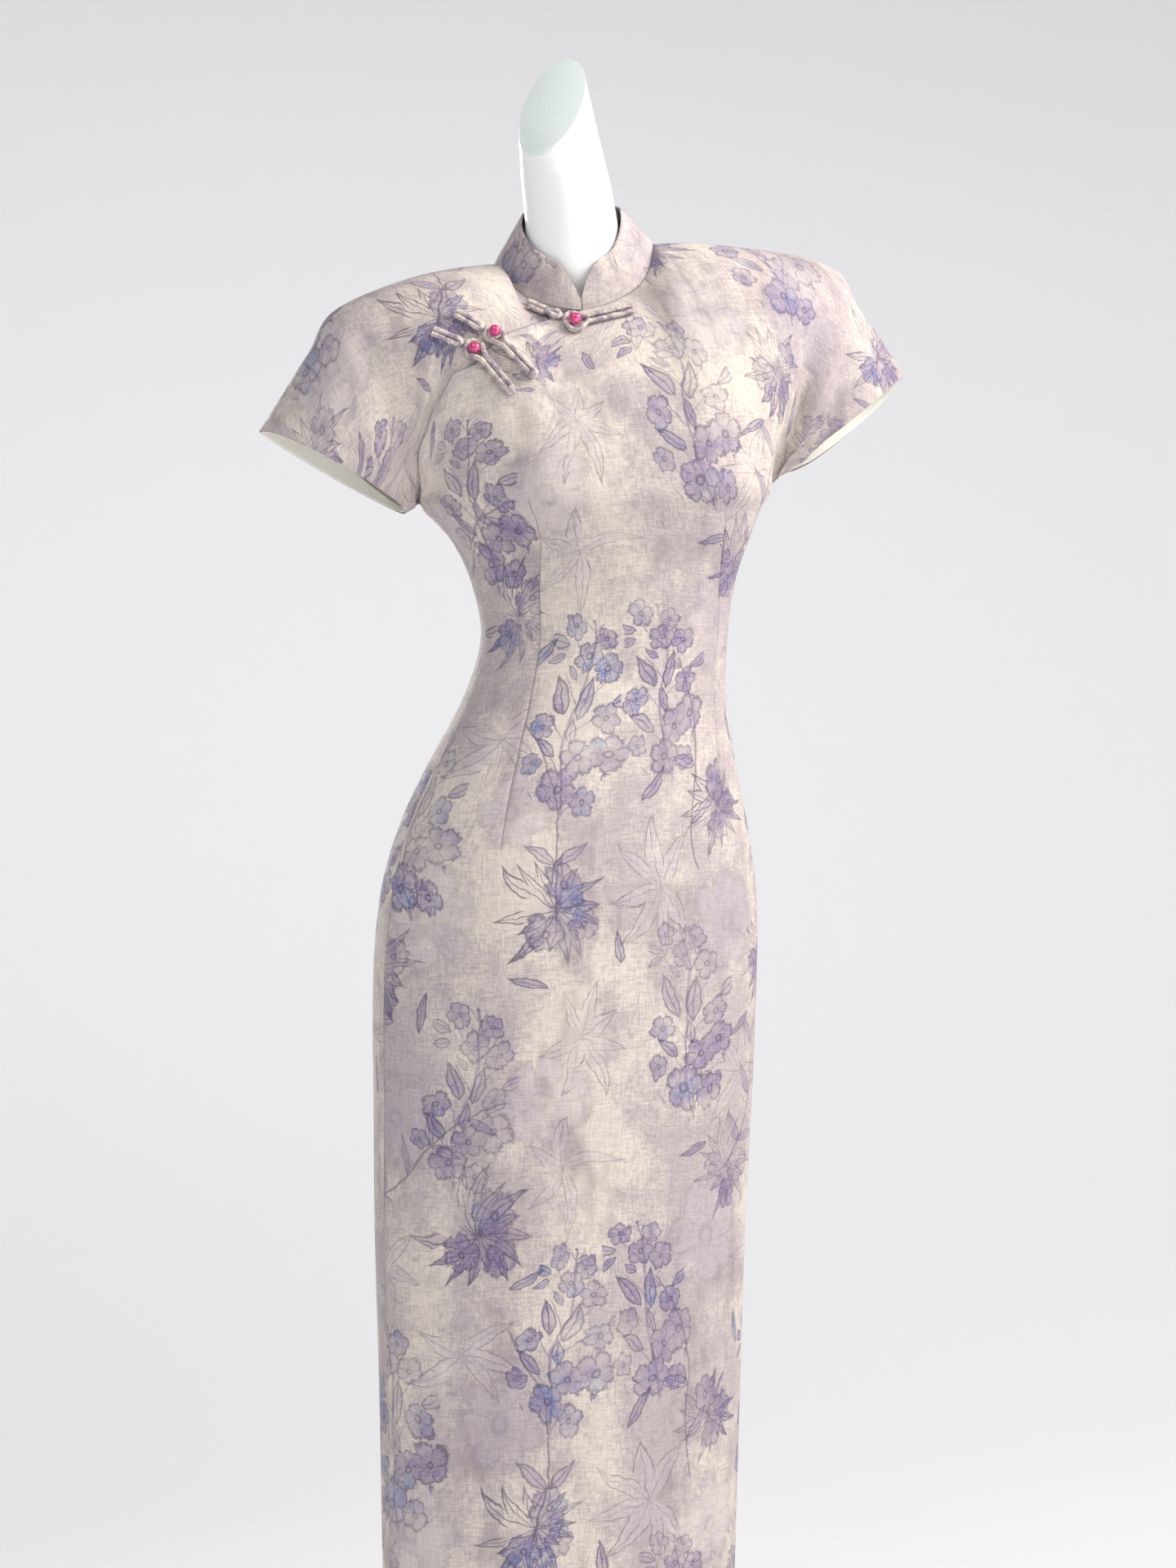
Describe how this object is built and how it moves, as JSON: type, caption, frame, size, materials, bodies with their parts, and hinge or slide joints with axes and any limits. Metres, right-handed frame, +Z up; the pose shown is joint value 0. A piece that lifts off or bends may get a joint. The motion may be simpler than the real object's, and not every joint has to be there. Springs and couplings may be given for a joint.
{
  "type": "cheongsam dress on a dress form",
  "caption": "Long fitted dress with a standing collar, a curved side opening with knotted frogs, short sleeves and side slits, on a limbless dress form with a pole and round base",
  "frame": {"origin": "on the floor at the middle of the base", "axes": "+Z up, the dress faces -Y, the wearer's right side is at -X"},
  "size_m": [0.5808, 0.34, 1.6274],
  "materials": {
    "printed_cloth": "fine plain weave with a printed floral pattern, matt",
    "facing_cloth": "plain pale lining cloth",
    "bead_glass": "glossy, slightly clear magenta bead",
    "form_shell": "smooth glossy white",
    "neck_plate": "flat pale grey-green",
    "steel": "brushed, satin"
  },
  "bodies": {
    "root": {"front": "printed_cloth", "under_front": "printed_cloth", "back": "printed_cloth", "collar": "printed_cloth", "facing_left": "facing_cloth", "facing_right": "facing_cloth", "frog_collar_loop": "printed_cloth", "frog_collar_knob": "printed_cloth", "frog_upper_loop": "printed_cloth", "frog_upper_knob": "printed_cloth", "frog_lower_loop": "printed_cloth", "frog_lower_knob": "printed_cloth", "bead_collar": "bead_glass", "bead_upper": "bead_glass", "bead_lower": "bead_glass", "form": "form_shell", "neck_plate": "neck_plate", "socket": "steel", "pole": "steel", "base": "steel"}
  },
  "joints": []
}
